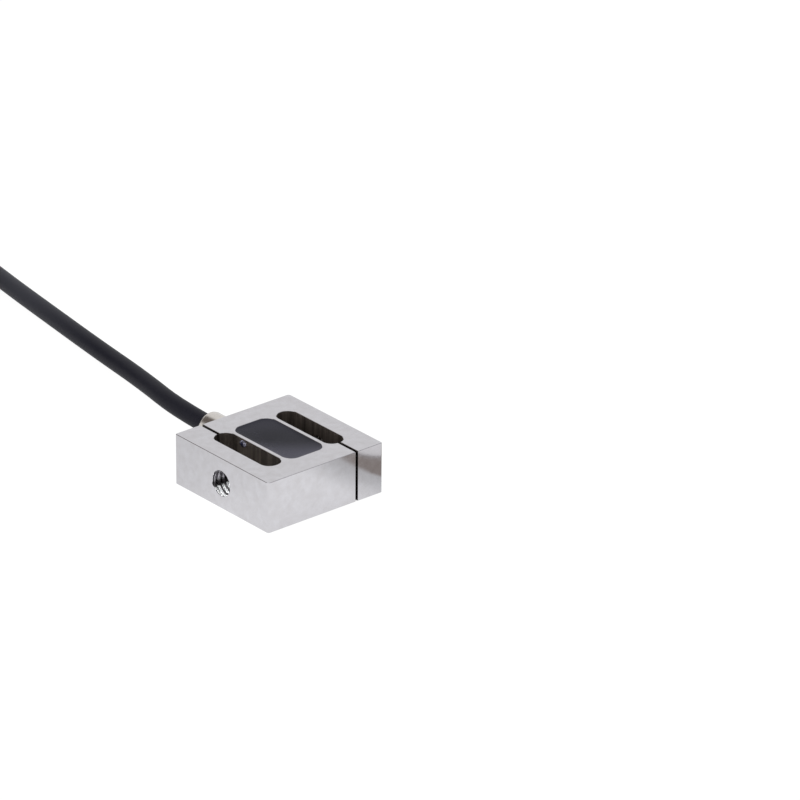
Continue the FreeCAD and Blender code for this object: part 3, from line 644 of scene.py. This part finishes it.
# The resin is dark in the middle, with a painted broad highlight that is strongest towards the front
# left corner and fainter towards the back right.
resin = new_piece("resin_filling", *resin_mesh())
epoxy, epoxy_shader = new_material("dark_epoxy", (0.02, 0.02, 0.026), 0.22)
smudge = add_grain(epoxy, epoxy_shader, 420, gloss=(0.16, 0.30), depth=0.000003, detail=5)
epoxy_shader.inputs["Specular IOR Level"].default_value = 0.09
tree = epoxy.node_tree
place = tree.nodes.new("ShaderNodeTexCoord").outputs["Object"]
# Painted highlight: a broad sheen is painted across the resin along this slope.
slope = vector_node(tree, "DOT_PRODUCT", place, (-0.6, -0.8, 0.0))
back_corner_painted_sheen = smooth_step(tree, slope, -0.0006, -0.0030, top=0.22)
dark_middle_and_painted_sheen = blend_towards(tree, (0.001, 0.001, 0.008), (0.040, 0.040, 0.068), back_corner_painted_sheen)
front_corner_painted_sheen = smooth_step(tree, slope, 0.0001, 0.0034)
epoxy_painted_sheen = blend_towards(tree, dark_middle_and_painted_sheen, (0.061, 0.060, 0.083), front_corner_painted_sheen)
smudged = smooth_step(tree, smudge.outputs["Fac"], 0.42, 0.75, top=0.12)
epoxy_tone = blend_towards(tree, epoxy_painted_sheen, (0.072, 0.073, 0.098), smudged)
tree.links.new(epoxy_tone, epoxy_shader.inputs["Base Color"])
resin.data.materials.append(epoxy)
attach(resin, "root")
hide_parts("potting")

# A stray drop of clear resin hangs on the outer face of the flexure, high in the first slot. It has
# run out a little sideways, is dark in the middle, and its thin rim carries a painted highlight.
DROP_MIDDLE, DROP_RADIUS, DROP_HEIGHT = (-0.0025, 0.0018, 0.00435), 0.0004, 0.0002
dome = [
    (DROP_HEIGHT * math.cos(turn), DROP_RADIUS * math.sin(turn))
    for turn in np.radians(np.linspace(90, 8, 10))[1:]
]
drop_points, drop_faces = turned_mesh([(0.0, DROP_RADIUS), *dome], 32, DROP_MIDDLE, (-1, 0, 0))
drop_points = DROP_MIDDLE + (drop_points - DROP_MIDDLE) * (1.0, 1.1, 0.72)
drop = new_piece("resin_drop", drop_points, drop_faces)
clear, clear_shader = new_material("drop_resin", (0.02, 0.02, 0.03), 0.1)
add_grain(clear, clear_shader, 4000, gloss=(0.06, 0.16), depth=0.000004)
clear_shader.inputs["Specular IOR Level"].default_value = 0.3
tree = clear.node_tree
place = tree.nodes.new("ShaderNodeTexCoord").outputs["Object"]
from_middle = vector_node(tree, "DISTANCE", place, DROP_MIDDLE)
# Painted highlight: the drop's rim is painted paler.
rim = smooth_step(tree, from_middle, 0.00023, 0.00030)
drop_tone_and_painted_rim = blend_towards(tree, (0.010, 0.010, 0.024), (0.15, 0.15, 0.19), rim)
tree.links.new(drop_tone_and_painted_rim, clear_shader.inputs["Base Color"])
drop.data.materials.append(clear)
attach(drop, "root")
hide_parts("potting_bead")


# ---- coil ties -----------------------------------------------------------------------------------
# Two black nylon cable ties hold the coil. Each is a moulded strap with a ratchet head, and its cut
# end lies over the coil: the strap hugs the bundle, and the end keeps its row of teeth.
TIE_WIDTH, TIE_STRAP, BUNDLE_LOW, BUNDLE_HIGH = 0.0024, 0.0003, 0.0003, 0.0109
BUNDLE_IN, BUNDLE_OUT, TIE_GAP = 0.0043559, 0.0136441, 0.0002


def slab(half_x, half_y, low, high, corner, edge):
    """A plate with rounded corners: outlines at four heights, the first and last set in by edge."""
    inner = rounded_outline(half_x - edge, half_y - edge, max(corner - edge, 0.00001), 5)
    outer = rounded_outline(half_x, half_y, corner, 5)
    levels = [(inner, low), (outer, low + edge), (outer, high - edge), (inner, high)]
    points = np.vstack([np.column_stack([line, np.full(len(line), z)]) for line, z in levels])
    count = len(outer)
    faces = skin_faces(4, count).tolist()
    return points, faces + [np.arange(count)[::-1].tolist(), (np.arange(count) + 3 * count).tolist()]


def tie_strap():
    """The strap as a closed ribbon of rounded section, swept round the bundle's outline.

    With the outline's point q and its outward normal n, a point is q + a n + b y, where the pairs
    (a, b) go round the strap's section, and y runs across the strap.
    """
    inside, outside = BUNDLE_IN - TIE_GAP, BUNDLE_OUT
    half_r, half_z = (outside - inside) / 2, (BUNDLE_HIGH - BUNDLE_LOW) / 2
    line = rounded_outline(half_r, half_z, 0.0009, 9)
    normal = rounded_outline(half_r + 1, half_z + 1, 1.0009, 9) - line
    normal /= np.linalg.norm(normal, axis=1)[:, None]
    half, edge = TIE_WIDTH / 2, 0.00006
    section = np.array([
        (0, half - edge), (0, -half + edge), (edge, -half), (TIE_STRAP - edge, -half),
        (TIE_STRAP, -half + edge), (TIE_STRAP, half - edge), (TIE_STRAP - edge, half), (edge, half),
    ])
    q = line[:, None, :] + section[None, :, :1] * normal[:, None, :]
    middle_r, middle_z = (inside + outside) / 2, (BUNDLE_LOW + BUNDLE_HIGH) / 2
    b = np.broadcast_to(section[None, :, 1], q.shape[:2])
    points = np.stack([q[..., 0] + middle_r, b, q[..., 1] + middle_z], axis=2)
    faces = skin_faces(len(line) + 1, len(section)) % (len(line) * len(section))
    return points.reshape(-1, 3), faces.tolist()


def toothed_end(start, end, low, teeth):
    """The cut end of the strap: four sided rings along X, whose lower side has teeth.

    With s the share of the way, the teeth are a triangle wave in s, 0.08 mm high, the whole end
    bows up by 0.12 mm times sin(pi s), and its tip is narrower.
    """
    s = np.linspace(0, 1, 4 * teeth + 1)
    saw = 0.00008 * np.abs((np.arange(len(s)) % 4) - 2) / 2
    half = 0.0011 * np.where(s > 0.93, 0.8, 1.0)
    x = start + (end - start) * s
    rise = low + 0.00012 * np.sin(math.pi * s)
    rings = np.stack([
        np.stack([x, -half, rise + saw], axis=1), np.stack([x, half, rise + saw], axis=1),
        np.stack([x, half, rise + 0.00026], axis=1), np.stack([x, -half, rise + 0.00026], axis=1),
    ], axis=1)
    last = (len(s) - 1) * 4
    faces = skin_faces(len(s), 4).tolist() + [[3, 2, 1, 0], [last, last + 1, last + 2, last + 3]]
    return rings.reshape(-1, 3), faces


def joined(parts):
    """One mesh of several closed skins: their points, and their faces numbered on from each other."""
    points, faces, start = [], [], 0
    for part_points, part_faces in parts:
        points.append(part_points)
        faces += [[number + start for number in face] for face in part_faces]
        start += len(part_points)
    return np.vstack(points), faces


def tie_mesh(degrees):
    """A whole tie, turned round the coil's axis: strap, head, pawl above it, and the cut end."""
    head_top = BUNDLE_HIGH + 0.00185
    head_points, head_faces = slab(
        half_x=0.00145, half_y=0.00145, low=BUNDLE_HIGH + 0.0002, high=head_top,
        corner=0.0004, edge=0.00012,
    )
    pawl_points, pawl_faces = slab(
        half_x=0.0008, half_y=0.0007, low=head_top - 0.00005, high=head_top + 0.00004,
        corner=0.0002, edge=0.00003,
    )
    head_points[:, 0] += COIL_RADIUS
    pawl_points[:, 0] += COIL_RADIUS
    points, faces = joined([
        tie_strap(), (head_points, head_faces), (pawl_points, pawl_faces),
        toothed_end(start=0.0100, end=0.01445, low=BUNDLE_HIGH + 0.0009, teeth=14),
    ])
    turn = math.radians(degrees)
    across = np.array([
        [math.cos(turn), math.sin(turn), 0], [-math.sin(turn), math.cos(turn), 0], [0, 0, 1],
    ])
    return points @ across + np.array([coil_middle[0], coil_middle[1], 0]), faces


nylon, nylon_shader = new_material("tie_nylon", (0.02, 0.02, 0.021), 0.36)
add_grain(nylon, nylon_shader, 1600, tones=((0.016, 0.016, 0.017), (0.026, 0.026, 0.028)),
          gloss=(0.28, 0.46), depth=0.00001)
add_grain(nylon, nylon_shader, 14000, depth=0.000002)
for number, degrees in ((1, 90), (2, 270)):
    tie = new_piece(f"nylon_tie_{number}", *tie_mesh(degrees))
    tie.data.materials.append(nylon)
    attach(tie, "root")
    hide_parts(f"coil_tie_{number}")


# ---- free end ------------------------------------------------------------------------------------
# The free end is as it leaves the maker: a black shrink sleeve over the end of the jacket, necked
# down on four coloured cores and the twisted shield wire, with the cores' ends stripped and tinned.
SLEEVE_LENGTH, SLEEVE_GRIP = 0.005, 0.002
STRIPPED_LENGTH, WIRE_KNEE, WIRE_REACH = 0.002, 0.0022, 0.0075
CORE_RADIUS, DRAIN_RADIUS, STRAND_RADIUS = 0.0002, 0.00022, 0.00011
end_along = tail_points[2] - tail_points[1]
end_along /= np.linalg.norm(end_along)
end_side = np.array([-end_along[1], end_along[0], 0.0])
sleeve_start = tail_points[2] - SLEEVE_GRIP * end_along
sleeve_end = sleeve_start + SLEEVE_LENGTH * end_along

sleeve = new_piece("shrink_sleeve", *turned_mesh(
    [
        (0.0, 0.000877), (0.0, 0.00102), (0.00004, 0.00106), (0.0005, 0.00107), (0.0012, 0.00106),
        (0.0018, 0.00107), (0.0021, 0.00105), (0.0025, 0.00098), (0.0030, 0.00091),
        (0.0036, 0.00087), (0.0044, 0.00085), (0.0049, 0.00086), (SLEEVE_LENGTH, 0.00083),
        (SLEEVE_LENGTH, 0.00078), (0.0046, 0.00075), (0.0034, 0.00076), (0.0024, 0.00084),
        (SLEEVE_GRIP, 0.000877),
    ],
    64, sleeve_start, end_along, ring=True,
))
shrink, shrink_shader = new_material("shrink_sleeve", (0.014, 0.014, 0.015), 0.5)
add_grain(shrink, shrink_shader, 2200, tones=((0.011, 0.011, 0.012), (0.02, 0.02, 0.021)),
          gloss=(0.42, 0.6), depth=0.000014)
add_grain(shrink, shrink_shader, 12000, depth=0.000003)
sleeve.data.materials.append(shrink)
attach(sleeve, "root")
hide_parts("end_sleeve")


def stranded(path, radius, strands, lay, per_strand=6, steps=72):
    """A twisted bundle of strands along a path of points, as one closed tube with lobes.

    The path is a quadratic Bezier curve p(s) from the first to the third point. With u and w
    square to its tangent, a point is p + r (u cos t + w sin t), where the strands' lobes give
    r = radius (0.8 + 0.2 |cos(k (t - l s) / 2)|) for k strands and a twist l along the length s.
    """
    s = np.linspace(0, 1, steps)[:, None]
    first, knee, last = (np.array(point) for point in path)
    line = (1 - s) ** 2 * first + 2 * s * (1 - s) * knee + s ** 2 * last
    tangent = 2 * (1 - s) * (knee - first) + 2 * s * (last - knee)
    tangent /= np.linalg.norm(tangent, axis=1)[:, None]
    u = np.cross(tangent, [0, 0, 1])
    u /= np.linalg.norm(u, axis=1)[:, None]
    w = np.cross(tangent, u)
    t = np.arange(strands * per_strand) * 2 * math.pi / (strands * per_strand)
    run = s * np.linalg.norm(last - first)
    lobes = radius * (0.8 + 0.2 * np.abs(np.cos(strands * (t - 2 * math.pi * run / lay) / 2)))
    taper = np.clip((1 - s) * 40, 0.6, 1)
    rings = line[:, None, :] + (lobes * taper)[..., None] * (
        np.cos(t)[:, None] * u[:, None, :] + np.sin(t)[:, None] * w[:, None, :]
    )
    count = len(t)
    ends = [np.arange(count)[::-1].tolist(), (np.arange(count) + (steps - 1) * count).tolist()]
    return rings.reshape(-1, 3), skin_faces(steps, count).tolist() + ends


# Each insulated core: its colour, its place in the sleeve's end (side, rise) and how far it fans.
END_CORES = (
    ("white", (0.72, 0.71, 0.67), -0.00042, -0.00036, -0.0019),
    ("black", (0.02, 0.02, 0.02), -0.00036, 0.00042, -0.0009),
    ("green", (0.03, 0.24, 0.07), 0.00036, 0.00042, 0.0010),
    ("red", (0.45, 0.025, 0.02), 0.00042, -0.00036, 0.0019),
)
core_materials, end_wires, tips = {}, [], []
for colour, shade, side, rise, fan in END_CORES:
    base, base_shader = new_material("core_" + colour, shade, 0.34)
    deeper = tuple(0.82 * channel for channel in shade)
    add_grain(base, base_shader, 3000, tones=(deeper, shade), gloss=(0.26, 0.42), depth=0.000004)
    core_materials[colour] = base
    root = sleeve_end + side * end_side + np.array([0, 0, rise])
    knee = root + WIRE_KNEE * end_along
    finish = sleeve_end + WIRE_REACH * end_along + fan * end_side
    finish[2] = 0.00062
    onward = (finish - knee) / np.linalg.norm(finish - knee)
    wire = spline_piece(
        colour + "_core",
        np.array([
            root - 0.0016 * end_along, root, knee - 0.0003 * end_along,
            knee + 0.0003 * onward, finish - 0.0002 * onward, finish,
        ]),
        CORE_RADIUS, resolution=10, sides=5,
    )
    wire.data.materials.append(base)
    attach(wire, "root")
    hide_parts("end_core_" + colour)
    end_wires.append(wire)
    tip = finish + STRIPPED_LENGTH * onward
    tip_path = (finish - 0.0001 * onward, (finish + tip) / 2, tip)
    tips.append(stranded(tip_path, STRAND_RADIUS, 7, 0.0022, steps=32))

tinned, tinned_shader = new_material("tinned_wire", (0.66, 0.66, 0.67), 0.3, metallic=1.0)
add_grain(tinned, tinned_shader, 4000, tones=((0.58, 0.58, 0.6), (0.72, 0.72, 0.73)),
          gloss=(0.22, 0.4), depth=0.000004)
bare = new_piece("tinned_tips", *joined(tips))
bare.data.materials.append(tinned)
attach(bare, "root")
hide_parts("bare_tips")

drain_knee = sleeve_end + WIRE_KNEE * end_along
drain_end = sleeve_end + WIRE_REACH * end_along + 0.0001 * end_side
drain_end[2] = DRAIN_RADIUS
drain = new_piece("shield_wire", *stranded(
    (sleeve_end - 0.0004 * end_along, drain_knee, drain_end),
    DRAIN_RADIUS, 12, 0.004, per_strand=5, steps=110,
))
drain.data.materials.append(tinned)
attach(drain, "root")
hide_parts("end_drain")


# ---- inside the resin ----------------------------------------------------------------------------
# The resin hides the circuit: foil gauges on the flexures, their lead strips, a terminal board with
# two chip resistors and four solder joints, and the ends of the cores. They keep their CAD forms.
def finish_nodes(material, *names):
    """Give CAD nodes a material in place of their plain one."""
    for name in names:
        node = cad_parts[name]
        node.data.materials.clear()
        node.data.materials.append(material)


film, film_shader = new_material("gauge_film", (0.55, 0.33, 0.10), 0.3)
add_grain(film, film_shader, 9000, stretch=(1.0, 0.08, 1.0),
          tones=((0.42, 0.22, 0.06), (0.68, 0.45, 0.18)), gloss=(0.2, 0.36), depth=0.000002)
finish_nodes(film, "gauge_1", "gauge_2", "gauge_3", "gauge_4")
strip, strip_shader = new_material("lead_strip", (0.62, 0.33, 0.2), 0.28, metallic=1.0)
add_grain(strip, strip_shader, 6000, stretch=(0.3, 0.3, 1.0),
          tones=((0.54, 0.27, 0.15), (0.7, 0.4, 0.26)), gloss=(0.2, 0.38), depth=0.000002)
finish_nodes(strip, "gauge_leads_1", "gauge_leads_2", "gauge_leads_3", "gauge_leads_4")
laminate, laminate_shader = new_material("board_laminate", (0.03, 0.16, 0.06), 0.4)
add_grain(laminate, laminate_shader, 7000, tones=((0.02, 0.12, 0.045), (0.045, 0.21, 0.08)),
          gloss=(0.32, 0.5), depth=0.000003)
finish_nodes(laminate, "terminal_board")
ceramic, ceramic_shader = new_material("chip_ceramic", (0.03, 0.03, 0.035), 0.45)
add_grain(ceramic, ceramic_shader, 9000, tones=((0.02, 0.02, 0.024), (0.05, 0.05, 0.056)),
          gloss=(0.36, 0.55), depth=0.000002)
finish_nodes(ceramic, "balance_resistor", "span_resistor")
solder, solder_shader = new_material("solder", (0.6, 0.6, 0.6), 0.25, metallic=1.0)
add_grain(solder, solder_shader, 5000, tones=((0.5, 0.5, 0.5), (0.68, 0.68, 0.69)),
          gloss=(0.16, 0.36), depth=0.000004)
finish_nodes(solder, "solder_joints")
for colour, material in core_materials.items():
    finish_nodes(material, "inner_core_" + colour)


# ---- floor and light -----------------------------------------------------------------------------
# A white table under a white tent of light, with one large soft lamp over the left shoulder and a
# narrow spot for the threaded hole.
def seen_directly(tree):
    """1 for what the camera sees, straight, mirrored or through something clear, else 0."""
    path = tree.nodes.new("ShaderNodeLightPath")
    seen = path.outputs["Is Camera Ray"]
    for ray in ("Is Glossy Ray", "Is Transmission Ray"):
        seen = value_node(tree, "MAXIMUM", seen, path.outputs[ray])
    return seen


def chosen_shader(tree, amount, before, after):
    """A Mix Shader node that goes from one shader to another by an amount between 0 and 1."""
    mix = tree.nodes.new("ShaderNodeMixShader")
    tree.links.new(amount, mix.inputs["Fac"])
    tree.links.new(before, mix.inputs[1])
    tree.links.new(after, mix.inputs[2])
    return mix.outputs["Shader"]


# The table glows for the camera and in mirrors, so that it stays white, and takes a faint contact
# shadow. It carries a painted shadow under the block, and in mirrors a painted shade that dims it a
# little to the back. To the right of the block, in mirrors only, lies a painted reflection of a coin
# in its painted shadow: a dark disc with a paler one on it, for the block's front face to mirror.
FLOOR_HEIGHT = -2e-5
floor_mesh = bpy.data.meshes.new("floor")
floor_corners = [(x, y, FLOOR_HEIGHT) for x, y in ((-4, -4), (4, -4), (4, 4), (-4, 4))]
floor_mesh.from_pydata(floor_corners, [], [(0, 1, 2, 3)])
floor = bpy.data.objects.new("floor", floor_mesh)
bpy.context.scene.collection.objects.link(floor)
paper, paper_shader = new_material("floor_paper", (0.8, 0.8, 0.8), 0.9)
paper_shader.inputs["Specular IOR Level"].default_value = 0.0
tree = paper.node_tree
place = tree.nodes.new("ShaderNodeTexCoord").outputs["Object"]
# Painted shade: what mirrors see of the table dims towards the back.
back_painted_dimming = smooth_step(tree, parted(tree, place)["Y"], -0.012, 0.016)
mirrored = blend_towards(tree, (1.0, 1.0, 1.01), (0.8, 0.8, 0.81), back_painted_dimming)
# Painted reflection of a coin for the front face to mirror, with a painted shadow round it.
from_ring = vector_node(tree, "DISTANCE", place, (0.0204, -0.01305, 0.0))
coin_painted_shadow = smooth_step(tree, from_ring, 0.0178, 0.0128)
mirrored = blend_towards(tree, mirrored, (0.60, 0.60, 0.61), coin_painted_shadow)
ring_out = smooth_step(tree, from_ring, 0.0128, 0.0122)
mirrored = blend_towards(tree, mirrored, (0.26, 0.22, 0.2), ring_out)
from_disc = vector_node(tree, "DISTANCE", place, (0.0160, -0.0165, 0.0))
disc_edge = smooth_step(tree, from_disc, 0.0073, 0.0070)
mirrored = blend_towards(tree, mirrored, (0.15, 0.13, 0.13), disc_edge)
disc_face = smooth_step(tree, from_disc, 0.0068, 0.0066)
mirrored = blend_towards(tree, mirrored, (0.84, 0.83, 0.84), disc_face)
camera_ray = tree.nodes.new("ShaderNodeLightPath").outputs["Is Camera Ray"]
shown = blend_towards(tree, mirrored, (0.96, 0.96, 0.96), camera_ray)
# Painted shadow: the table under the block is painted near black.
sides = parted(tree, vector_node(tree, "ABSOLUTE", place))
furthest = value_node(tree, "MAXIMUM", sides["X"], sides["Y"])
under_block_painted_shadow = smooth_step(tree, furthest, BLOCK_HALF, BLOCK_HALF - 0.0006)
shown = blend_towards(tree, shown, (0.02, 0.018, 0.016), under_block_painted_shadow)
glow = tree.nodes.new("ShaderNodeEmission")
tree.links.new(shown, glow.inputs["Color"])
diffuse = tree.nodes.new("ShaderNodeBsdfDiffuse")
diffuse.inputs["Color"].default_value = (0.1, 0.1, 0.1, 1)
both = tree.nodes.new("ShaderNodeAddShader")
tree.links.new(glow.outputs["Emission"], both.inputs[0])
tree.links.new(diffuse.outputs["BSDF"], both.inputs[1])
table = chosen_shader(
    tree, seen_directly(tree), paper_shader.outputs["BSDF"], both.outputs["Shader"],
)
tree.links.new(table, tree.nodes["Material Output"].inputs["Surface"])
floor_mesh.materials.append(paper)

# The tent is bright all round but for an opening high up at the back left, which puts the dark
# lines on edges and on the ferrule, and a dimmer seam high up at the front right.
world = bpy.data.worlds.new("room")
bpy.context.scene.world = world
world.use_nodes = True
tree = world.node_tree
towards = tree.nodes.new("ShaderNodeTexCoord").outputs["Generated"]
opening = vector_node(tree, "DOT_PRODUCT", towards, (-0.282, 0.686, 0.669))
tent = blend_towards(tree, (0.9, 0.895, 0.905), (0.16, 0.14, 0.13),
                     smooth_step(tree, opening, 0.86, 0.96))
seam = vector_node(tree, "DOT_PRODUCT", towards, (0.59, -0.43, 0.69))
tent = blend_towards(tree, tent, (0.5, 0.49, 0.51), smooth_step(tree, seam, 0.80, 0.95))
room = tree.nodes["Background"]
tree.links.new(tent, room.inputs["Color"])
wall = tree.nodes.new("ShaderNodeBackground")
wall.inputs["Color"].default_value = (1, 1, 1, 1)
camera_ray = tree.nodes.new("ShaderNodeLightPath").outputs["Is Camera Ray"]
tent_wall = chosen_shader(
    tree, camera_ray, room.outputs["Background"], wall.outputs["Background"],
)
tree.links.new(tent_wall, tree.nodes["World Output"].inputs["Surface"])


def hang_lamp(lamp_data, location, target):
    """A lamp at a location, aimed at a target, that mirrors don't show."""
    lamp = bpy.data.objects.new(lamp_data.name, lamp_data)
    bpy.context.scene.collection.objects.link(lamp)
    lamp.location = location
    lamp.rotation_mode = "QUATERNION"
    lamp.rotation_quaternion = (target - lamp.location).to_track_quat("-Z", "Y")
    lamp.visible_glossy = False


softbox = bpy.data.lights.new("softbox", "AREA")
softbox.shape = "DISK"
softbox.size = 0.5
softbox.energy = 1.0
hang_lamp(softbox, (-0.35, 0.15, 0.6), Vector((0, 0, 0)))

# A narrow spot from the upper left reaches into the threaded hole and lights its flanks.
hole_spot = bpy.data.lights.new("hole_spot", "SPOT")
hole_spot.spot_size = math.radians(1.2)
hole_spot.spot_blend = 0.4
hole_spot.shadow_soft_size = 0.004
hole_spot.energy = 6.0
hole = Vector((-BLOCK_HALF, 0, BLOCK_HEIGHT / 2))
hang_lamp(hole_spot, hole + Vector((-0.14, -0.07, 0.124)), hole)

bpy.context.scene.view_settings.view_transform = "Standard"
